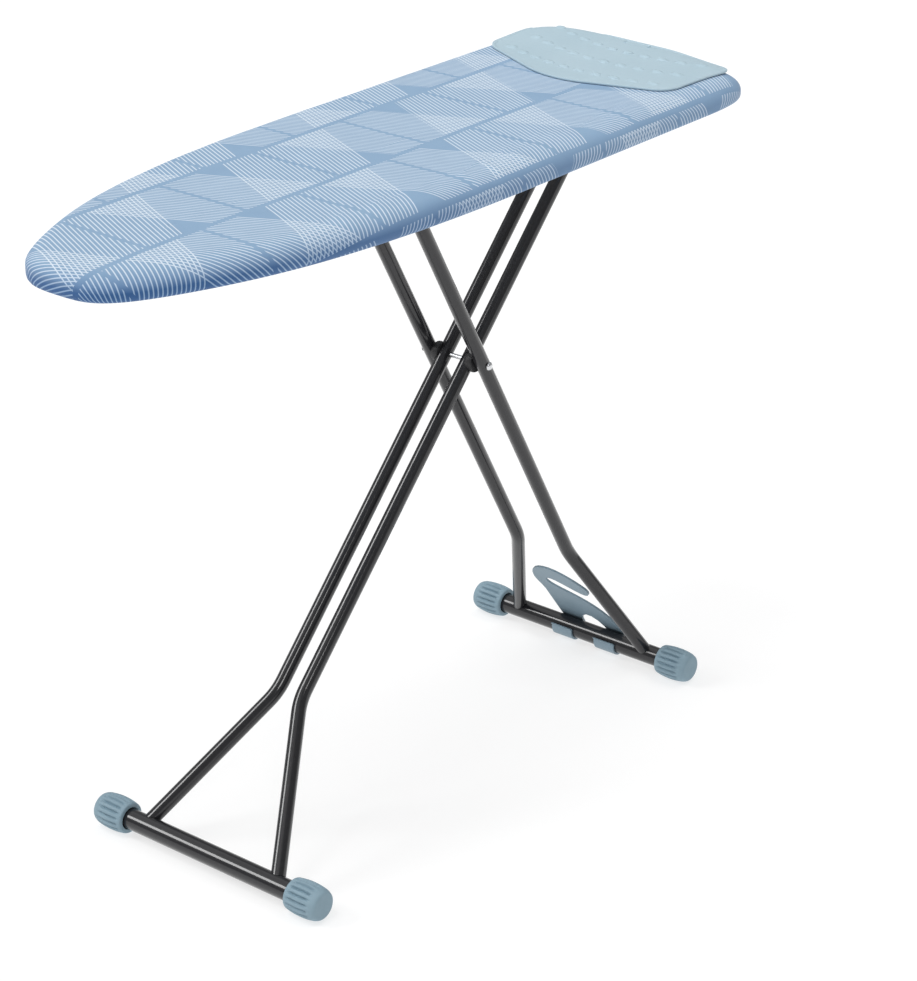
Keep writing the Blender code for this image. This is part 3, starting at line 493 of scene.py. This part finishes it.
class CoverSheet:
    """The rows of the cover from its middle line outwards, in space and on the flat cloth."""

    def __init__(self):
        self.loop = board_loop(COVER_HALF_POINTS)
        self.inward = inward_of(self.loop)
        self.reach, self.depth, self.under = edge_shape(self.loop)
        self.edge = self.loop + self.inward * self.reach[:, None]
        self.run = np.zeros(len(self.loop))
        self.rings = []
        self.cloth = []

    def add(self, flat, heights, cloth):
        """One more row."""
        self.rings.append(ring_at(flat, heights))
        self.cloth.append([tuple(place) for place in cloth])

    def add_below(self, inset, heights, step):
        """A row past the top's edge, inset from the outline, a step further along the cloth."""
        self.run = self.run + step
        flat = self.loop + self.inward * inset[:, None]
        self.add(flat, heights, self.edge - self.inward * self.run[:, None])

    def add_top(self):
        """The flat top, from the middle line to where it starts to round over."""
        spine = spine_of(self.loop, SPINE_MARGIN)
        for row in range(COVER_TOP_ROWS + 1):
            flat = spine + (self.edge - spine) * row / COVER_TOP_ROWS
            rise = creases(flat) if row > 0 else np.zeros(len(flat))
            self.add(flat, CLOTH_TOP - nose_drop(flat) + rise, flat)

    def add_edge(self):
        """The rounded edge, over which the creases fade out."""
        lift = creases(self.edge) - nose_drop(self.edge)
        last_out, last_drop = 0.0, 0.0
        for row in range(1, COVER_EDGE_ROWS + 1):
            angle = math.pi / 2 * row / COVER_EDGE_ROWS
            out = self.reach * math.sin(angle)
            drop = self.depth * (1 - math.cos(angle))
            step = np.hypot(out - last_out, drop - last_drop)
            last_out, last_drop = out, drop
            heights = CLOTH_TOP - drop + lift * math.cos(angle)
            self.add_below(self.reach - out, heights, step)

    def add_side(self):
        """The upright side."""
        tall = COVERED_THICKNESS - self.under - self.depth
        inset = np.zeros(len(self.loop))
        for row in range(1, COVER_SIDE_ROWS + 1):
            drop = self.depth + tall * row / COVER_SIDE_ROWS
            self.add_below(inset, TOP_HEIGHT - drop, tall / COVER_SIDE_ROWS)

    def add_turn(self):
        """The turn from the side to the underside."""
        for row in range(1, COVER_TURN_ROWS + 1):
            angle = math.pi / 2 * row / COVER_TURN_ROWS
            inset = self.under * (1 - math.cos(angle))
            heights = HEM_HEIGHT + self.under * (1 - math.sin(angle))
            self.add_below(inset, heights, self.under * math.pi / 2 / COVER_TURN_ROWS)

    def add_hem(self):
        """The gathered hem under the board, and the rolled edge that ends it."""
        turns = np.arange(len(self.loop)) / len(self.loop) * math.tau
        gathers = np.array([noise.noise(Vector((math.cos(a), math.sin(a), 0)) * GATHER_TURNS)
                            for a in turns])
        sag = HEM_SAG * (0.5 + 0.5 * gathers)
        across = HEM_DEPTH - self.under
        for row in range(1, COVER_HEM_ROWS + 1):
            share = row / COVER_HEM_ROWS
            self.add_below(self.under + across * share, HEM_HEIGHT - sag * share,
                           across / COVER_HEM_ROWS)
        for row in range(1, COVER_BEAD_ROWS + 1):
            angle = BEAD_STEP * row
            inset = np.full(len(self.loop), HEM_DEPTH + BEAD_RADIUS * math.sin(angle))
            lift = BEAD_RADIUS * (1 - math.cos(angle))
            self.add_below(inset, HEM_HEIGHT - sag + lift, BEAD_RADIUS * BEAD_STEP)


def make_cover(material):
    """One fitted sheet over the pad: flat top, rounded edge, side, and a gathered hem under it."""
    sheet = CoverSheet()
    sheet.add_top()
    sheet.add_edge()
    sheet.add_side()
    sheet.add_turn()
    sheet.add_hem()
    builder = weld(loft(sheet.rings, cloth=sheet.cloth))
    cover = finish_object("fitted_cover", builder, material, "board", 70)
    thicken = cover.modifiers.new("cloth_thickness", "SOLIDIFY")
    thicken.thickness = CLOTH_THICKNESS
    thicken.offset = -1.0
    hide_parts("cover")


# ---------------------------------------------------------------- pad
PAD_BELOW_CLOTH = 0.0014
PAD_INSIDE_CLOTH = 0.0018
PAD_LEAST_EDGE = 0.0008       # thickness left where it thins out over the frame's edge
PAD_EDGE_ANGLES = (0.12, 0.8)


def make_pad(material):
    """The foam under the cover, thinning out where it rounds over the frame's edge."""
    loop = board_loop(150)
    inward = inward_of(loop)
    reach, depth, _ = edge_shape(loop)
    spine = spine_of(loop, SPINE_MARGIN)
    low, high = (corner.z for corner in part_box("foam_pad"))
    top = high - PAD_BELOW_CLOTH
    edge = loop + inward * reach[:, None]
    rings = []
    for share in np.linspace(0, 1, 9):
        flat = spine + (edge - spine) * share
        rings.append(ring_at(flat, top - nose_drop(flat)))
    for angle in np.linspace(*PAD_EDGE_ANGLES, 6):
        out = (reach - PAD_INSIDE_CLOTH) * math.sin(angle)
        drop = depth * (1 - math.cos(angle)) + nose_drop(edge)
        flat = edge - inward * out[:, None]
        rings.append(ring_at(flat, np.maximum(top - drop, low + PAD_LEAST_EDGE)))
    rings.append(ring_at(flat + inward * 0.001, np.full(len(loop), low)))
    for share in np.linspace(1, 0, 9):
        rings.append(ring_at(spine + (edge - spine) * share, np.full(len(loop), low)))
    pad = finish_object("foam_cushion", weld(loft(rings)), material, "board")
    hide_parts("foam_pad")


# ---------------------------------------------------------------- iron rest
MAT_END = BOARD_LENGTH - 0.003
MAT_WIDTH = 0.314
MAT_MIDDLE = 0.0155
MAT_SKEW = 0.090              # how far its cross edges lie askew, per metre of width
MAT_TURN = 0.015              # the same for its long edges, per metre of length
MAT_SIDE = 0.156              # length of its straight sides
MAT_POINT = 0.203             # length to its shallow point
MAT_CORNER = 0.034
MAT_ROUNDING = 0.050          # half the width of the rounded point
MAT_SPINE_MARGIN = 0.060
MAT_ROWS = 84
MAT_UNDERSIDE = 0.0005        # heights over the cover
MAT_FIELD = 0.0024
MAT_RIM_TOP = 0.0033
MAT_RIM_INSIDE = 0.0056
MAT_CURL = 0.0035             # lift of the far corner
BUMP_ROWS = 3
BUMPS_IN_ROW = 10
BUMP_PITCH = 0.0272
BUMP_ROW_PITCH = 0.053
BUMP_FIRST_ROW = -0.154
BUMP_ROW_BOW = 0.021          # how far a row bows towards the square end
BUMP_BOW_SPAN = 0.122         # at this distance from its middle
BUMP_HALF_LENGTH = 0.0080
BUMP_HALF_WIDTH = 0.0050
BUMP_HEIGHT = 0.0023


def mat_half_outline():
    """The +Y half of the flat iron rest, measured from the middle of its straight end."""
    half = MAT_WIDTH / 2
    centre_y = half - MAT_CORNER
    tilt = math.atan2(MAT_POINT - MAT_SIDE, half)
    tip = -MAT_POINT + 0.006
    down, along = MAT_ROUNDING * math.sin(tilt), MAT_ROUNDING * math.cos(tilt)
    line = list(bezier((tip, 0), (tip, MAT_ROUNDING * 0.4),
                       (-MAT_POINT + down * 0.7, along * 0.7), (-MAT_POINT + down, along), 10))
    for centre_x, first, last in ((MAT_CORNER - MAT_SIDE, math.pi - tilt, math.pi / 2),
                                  (-MAT_CORNER, math.pi / 2, 0)):
        for angle in np.linspace(first, last, 16):
            line.append((centre_x + MAT_CORNER * math.cos(angle),
                         centre_y + MAT_CORNER * math.sin(angle)))
    line.append((0.0, 0.0))
    return np.array(line)


def mat_bumps():
    """Centres of the raised ovals, in bowed rows."""
    bumps = []
    middle = (BUMPS_IN_ROW - 1) / 2
    for row in range(BUMP_ROWS):
        for number in range(BUMPS_IN_ROW):
            y = (number - middle) * BUMP_PITCH
            bow = BUMP_ROW_BOW * (y / BUMP_BOW_SPAN) ** 2
            bumps.append((BUMP_FIRST_ROW + BUMP_ROW_PITCH * row + bow, y))
    return np.array(bumps)


class CoverSurface:
    """The cover's top and rounded edge, as a stiff mat follows them."""

    def __init__(self):
        self.loop = board_loop(600)
        self.inward = inward_of(self.loop)
        self.reach, depth, _ = edge_shape(self.loop)
        follow = 0.08 + 0.5 * smooth_step(-self.loop[:, 1], 0.02, 0.12)
        self.depth = depth * follow

    def over(self, flat, height):
        """World points for flat mat points at a height over the cover, bent down round its edge."""
        lay = np.array(((1.0, MAT_SKEW), (-MAT_TURN, 1.0)))
        flat = flat @ lay.T + (MAT_END, MAT_MIDDLE)
        nearest = np.linalg.norm(flat[:, None, :] - self.loop[None], axis=2).argmin(axis=1)
        base, inside = self.loop[nearest], self.inward[nearest]
        reach, depth = self.reach[nearest], self.depth[nearest]
        aside = np.column_stack([-inside[:, 1], inside[:, 0]])
        along_inside = ((flat - base) * inside).sum(axis=1)
        along_aside = ((flat - base) * aside).sum(axis=1)
        past = np.maximum(reach - along_inside, 0.0)
        quarter = math.pi / 2 * np.sqrt((reach ** 2 + depth ** 2) / 2)
        angle = math.pi / 2 * np.minimum(past / quarter, 1.0)
        hanging = np.maximum(past - quarter, 0.0)
        normal_out = np.sin(angle) * depth
        normal_up = np.cos(angle) * reach
        size = np.hypot(normal_out, normal_up)
        bent_out = np.where(past > 0, reach * np.sin(angle), reach - along_inside)
        out = bent_out + height * normal_out / size
        drop = depth * (1 - np.cos(angle)) + hanging
        places = base + aside * along_aside[:, None] + inside * (reach - out)[:, None]
        far, at_end = smooth_step(flat[:, 1], 0.02, 0.16), smooth_step(flat[:, 0], 0.96, 1.08)
        curl = MAT_CURL * far * at_end
        return ring_at(places, TOP_HEIGHT - drop + height * normal_up / size + curl)


def make_mat(material):
    """The silicone iron rest: a raised rim, rows of ovals, and edges that follow the cover."""
    surface = CoverSurface()
    loop = mirrored(evenly(mat_half_outline(), 200))
    inward = inward_of(loop)
    spine = spine_of(loop, MAT_SPINE_MARGIN)
    inner = loop + inward * MAT_RIM_INSIDE
    bumps = mat_bumps()
    rings = []
    for row in range(MAT_ROWS + 1):
        flat = spine + (inner - spine) * row / MAT_ROWS
        away = (flat[:, None, :] - bumps[None]) / (BUMP_HALF_WIDTH, BUMP_HALF_LENGTH)
        share = np.sqrt((away ** 2).sum(axis=2)).min(axis=1)
        dome = np.clip(1 - share ** 2, 0, 1) ** 0.45 * BUMP_HEIGHT
        rings.append(surface.over(flat, MAT_FIELD + dome))
    rim = [(0.0046, MAT_FIELD), (0.0038, MAT_RIM_TOP - 0.0002), (0.0030, MAT_RIM_TOP),
           (0.0012, MAT_RIM_TOP), (0.0004, MAT_RIM_TOP - 0.0003), (0.0, MAT_RIM_TOP - 0.0010),
           (0.0, MAT_UNDERSIDE + 0.0005), (0.0005, MAT_UNDERSIDE)]
    for inset, height in rim:
        rings.append(surface.over(loop + inward * inset, np.full(len(loop), height)))
    for share in np.linspace(0.05, 1, 9):
        flat = loop + (spine - loop) * share
        rings.append(surface.over(flat, np.full(len(loop), MAT_UNDERSIDE)))
    mat = finish_object("iron_rest_pad", weld(loft(rings)), material, "board")
    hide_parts("iron_rest_mat")


# ---------------------------------------------------------------- strap
STRAP_THICKNESS = 0.0022
STRAP_GAP = 0.0003
STRAP_RIB = 0.0011
STRAP_UNDER = 0.019           # reach under the board


def strap_path():
    """The strap's middle line in X and Z: off the mat, over the square end and under the hem."""
    off = STRAP_GAP + STRAP_THICKNESS / 2
    half_points = 100
    reach, depth, under = (values[half_points] for values in edge_shape(board_loop(half_points)))
    end = x_at(BOARD_LENGTH)
    path = [(x_at(MAT_END) - 0.004, TOP_HEIGHT + off)]
    for angle in np.linspace(0, math.pi / 2, 12):
        path.append((end - reach + (reach + off) * math.sin(angle),
                     TOP_HEIGHT - depth + (depth + off) * math.cos(angle)))
    for angle in np.linspace(0, math.pi / 2, 10):
        path.append((end - under + (under + off) * math.cos(angle),
                     HEM_HEIGHT + under - (under + off) * math.sin(angle)))
    path.append((end - STRAP_UNDER, HEM_HEIGHT - off - 0.0016))
    return evenly(np.array(path), 90)


def make_strap(material):
    """The mat's tongue over the square end and under the hem, with a rib along each edge."""
    low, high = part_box("mat_strap")
    path = strap_path()
    tangent = np.gradient(path, axis=0)
    tangent /= np.linalg.norm(tangent, axis=1)[:, None]
    normal = np.column_stack([-tangent[:, 1], tangent[:, 0]])
    middle = (low.y + high.y) / 2
    half = (high.y - low.y) / 2
    rib_top = 0.5 + STRAP_RIB / STRAP_THICKNESS
    section = [(-half, -0.5), (-half, 0.4), (-half + 0.0006, rib_top),
               (-half + 0.0024, rib_top), (-half + 0.0034, 0.5)]
    section += [(-y, up) for y, up in reversed(section)]
    rings = []
    for (x, z), (normal_x, normal_z) in zip(path, normal):
        rings.append([(x + normal_x * up * STRAP_THICKNESS, middle + y,
                       z + normal_z * up * STRAP_THICKNESS) for y, up in section])
    builder = loft(rings, caps=(True, True))
    strap = finish_object("rest_strap", builder, material, "board", 35)
    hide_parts("mat_strap")


# ---------------------------------------------------------------- foot caps
CAP_RIBS = 17
CAP_STEPS = 10                # points in each rib and its groove
CAP_BORE = 0.0140
CAP_GROOVE = 0.0036
CAP_GROOVE_STARTS = (0.05, 0.22)   # shares of the cap's length, from the bar
CAP_GROOVE_ENDS = (0.66, 0.86)


def cap_profile(full):
    """Shares of the cap's length and radii there, from the bore over the barrel to the end."""
    profile = [(0.120, CAP_BORE), (0.0, CAP_BORE + 0.0010), (0.0, 0.0176), (0.006, 0.0190),
               (0.018, 0.0199), (0.040, 0.0204)]
    profile += [(share, full - 0.0019 * ((share - 0.46) / 0.40) ** 2)
                for share in np.linspace(0.07, 0.86, 24)]
    profile += [(0.90, full - 0.0026), (0.94, full - 0.0034), (0.97, full - 0.0043),
                (0.988, full - 0.0054), (0.997, full - 0.0066), (1.0, full - 0.0080),
                (1.0, 0.0070), (1.0, 0.0012)]
    return profile


def make_foot_cap(node, body, side, material):
    """A barrel-shaped rubber cap with lengthwise grooves and a smooth, narrower end."""
    low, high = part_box(node)
    centre_x, centre_z = (low.x + high.x) / 2, (low.z + high.z) / 2
    length = high.y - low.y
    full = (high.z - low.z) / 2 + 0.0002
    inner_y = low.y if side > 0 else high.y
    around = CAP_RIBS * CAP_STEPS
    rings = []
    for share, radius in cap_profile(full):
        started = smooth_step(np.array(share), *CAP_GROOVE_STARTS)
        depth = CAP_GROOVE * started * (1 - smooth_step(np.array(share), *CAP_GROOVE_ENDS))
        ring = []
        for step in range(around):
            angle = math.tau * step / around
            phase = (step % CAP_STEPS) / CAP_STEPS
            groove = max(0.0, math.cos(math.tau * (phase - 0.5)))
            r = radius - depth * groove
            ring.append((centre_x + r * math.sin(angle), inner_y + side * share * length,
                         centre_z + r * math.cos(angle)))
        rings.append(ring)
    builder = loft(rings, caps=(False, True))
    cap = finish_object("ribbed_" + node, builder, material, body, 60)
    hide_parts(node)


# ---------------------------------------------------------------- finishes of the CAD nodes
SOFT_EDGES = {"release_lever": 0.0006, "hanger_hook": 0.0007, "lever_bracket": 0.0003,
              "rod_guide_1": 0.0006, "rod_guide_2": 0.0006, "roller_near": 0.0006,
              "roller_far": 0.0006, "pivot_bracket": 0.0004, "nose_rib": 0.0008,
              "middle_rib": 0.0008, "end_rib": 0.0008}
JOIN_DISTANCE = 0.00001
SMOOTH_ANGLE = math.radians(38)
BEVEL_ANGLE = math.radians(50)


def smooth_round_surfaces():
    """A modifier's tree: joins the split faces of a mesh, and keeps only its real edges sharp."""
    tree = bpy.data.node_groups.new("smooth_round_surfaces", "GeometryNodeTree")
    for way in ("INPUT", "OUTPUT"):
        tree.interface.new_socket("Geometry", in_out=way, socket_type="NodeSocketGeometry")
    join = tree.nodes.new("GeometryNodeMergeByDistance")
    join.inputs["Distance"].default_value = JOIN_DISTANCE
    forget = tree.nodes.new("GeometryNodeRemoveAttribute")
    forget.inputs["Name"].default_value = "custom_normal"
    faces = tree.nodes.new("GeometryNodeSetShadeSmooth")
    edges = tree.nodes.new("GeometryNodeSetShadeSmooth")
    edges.domain = "EDGE"
    angle = tree.nodes.new("GeometryNodeInputMeshEdgeAngle")
    gentle = tree.nodes.new("FunctionNodeCompare")
    gentle.operation = "LESS_THAN"
    gentle.inputs["B"].default_value = SMOOTH_ANGLE
    chain = [tree.nodes.new("NodeGroupInput"), join, forget, faces, edges,
             tree.nodes.new("NodeGroupOutput")]
    for first, second in zip(chain, chain[1:]):
        tree.links.new(first.outputs[0], second.inputs[0])
    tree.links.new(angle.outputs["Unsigned Angle"], gentle.inputs["A"])
    tree.links.new(gentle.outputs[0], edges.inputs["Shade Smooth"])
    return tree


def soften_edges(obj, width):
    """Rounds the edges that a hand would feel."""
    bevel = obj.modifiers.new("soft_edges", "BEVEL")
    bevel.width = width
    bevel.segments = 2
    bevel.limit_method = "ANGLE"
    bevel.angle_limit = BEVEL_ANGLE


def finish_nodes(finishes):
    """Gives every CAD node its procedural finish and smooth shading, and some softer edges."""
    smoothing = smooth_round_surfaces()
    for entry in frame["record"]["subparts"]:
        obj = frame["nodes"][entry["node"]]
        obj.modifiers.new("smooth_shading", "NODES").node_group = smoothing
        for material_slot in obj.material_slots:
            material_slot.material = finishes[entry["material_slot"]]
        if entry["node"] in SOFT_EDGES:
            soften_edges(obj, SOFT_EDGES[entry["node"]])


# ---------------------------------------------------------------- stage
WHITE = (1.0, 1.0, 1.0, 1.0)
FLOOR_HALF_SIZE = 30.0
FLOOR_GREY = (0.36, 0.36, 0.36)
FLOOR_GLOW = 0.68
SKY_STRENGTH = 0.30
SUNS = {                      # direction of the light, strength, and width in degrees
    "key_light": ((-0.35, 0.25, -1.0), 0.60, 40),
    "overhead_light": ((0.1, -0.3, -1.0), 0.60, 80),
    "high_strip": ((0.32, -0.12, -1.0), 0.70, 18),
    "side_strip": ((0.507, -0.604, -0.616), 0.80, 19),
    "front_strip": ((0.579, 0.579, -0.574), 0.40, 14),
}
CAMERA_PLACE = (-2.5064, -2.1270, 1.8990)
CAMERA_YAW = math.radians(51.17)      # from +Y towards +X
CAMERA_PITCH = math.radians(24.66)    # downwards
CAMERA_LENS = 104.9
CAMERA_SENSOR = 36.0


def make_floor():
    """A plain floor that glows softly, so that it stays pale round the contact shadows."""
    builder = bmesh.new()
    bmesh.ops.create_grid(builder, x_segments=1, y_segments=1, size=FLOOR_HALF_SIZE)
    mesh = bpy.data.meshes.new("studio_floor")
    builder.to_mesh(mesh)
    builder.free()
    graph = Graph("white_floor", roughness=0.9)
    graph.colour(FLOOR_GREY)
    graph.shader.inputs["Specular IOR Level"].default_value = 0.0
    graph.shader.inputs["Emission Color"].default_value = WHITE
    graph.shader.inputs["Emission Strength"].default_value = FLOOR_GLOW
    mesh.materials.append(graph.material)
    floor = bpy.data.objects.new("studio_floor", mesh)
    bpy.context.scene.collection.objects.link(floor)


def add_aimed(name, data, direction):
    """A light or camera that looks along a direction."""
    obj = bpy.data.objects.new(name, data)
    bpy.context.scene.collection.objects.link(obj)
    obj.rotation_euler = Vector(direction).to_track_quat("-Z", "Y").to_euler()
    return obj


def make_lights():
    """An even white sky, two wide suns, and three narrower ones that put highlights on the tubes."""
    world = bpy.context.scene.world or bpy.data.worlds.new("studio")
    bpy.context.scene.world = world
    world.use_nodes = True
    background = world.node_tree.nodes["Background"]
    background.inputs["Color"].default_value = WHITE
    background.inputs["Strength"].default_value = SKY_STRENGTH
    for name, (direction, strength, width) in SUNS.items():
        sun = bpy.data.lights.new(name, "SUN")
        sun.energy = strength
        sun.angle = math.radians(width)
        add_aimed(name, sun, direction)


def make_camera():
    """The view from ahead of the nose and above."""
    camera = bpy.data.cameras.new("camera")
    camera.sensor_width = CAMERA_SENSOR
    camera.lens = CAMERA_LENS
    camera.clip_end = 100.0
    forward = (math.sin(CAMERA_YAW) * math.cos(CAMERA_PITCH),
               math.cos(CAMERA_YAW) * math.cos(CAMERA_PITCH),
               -math.sin(CAMERA_PITCH))
    obj = add_aimed("camera", camera, forward)
    obj.location = CAMERA_PLACE
    bpy.context.scene.camera = obj


# ---------------------------------------------------------------- the whole scene
def main():
    """Finishes the CAD nodes, makes the pieces that replace some of them, and sets the stage."""
    finishes = {
        "cover_cloth": make_cover_cloth(),
        "foam": make_foam(),
        "silicone": make_silicone(),
        "grey_steel": make_grey_steel(),
        "bright_steel": make_bright_steel(),
        "black_paint": make_black_paint(),
        "black_plastic": make_black_plastic(),
        "blue_rubber": make_rubber(),
        "blue_plastic": make_hook_plastic(),
    }
    make_camera()
    finish_nodes(finishes)
    make_pad(finishes["foam"])
    make_cover(finishes["cover_cloth"])
    make_mat(finishes["silicone"])
    make_strap(finishes["silicone"])
    for leg in ("a", "b"):
        for word, side in (("near", -1), ("far", 1)):
            make_foot_cap("foot_cap_" + leg + "_" + word, "leg_" + leg, side,
                          finishes["blue_rubber"])
    make_floor()
    make_lights()
    bpy.context.scene.view_settings.view_transform = "Standard"


main()
bpy.context.view_layer.update()
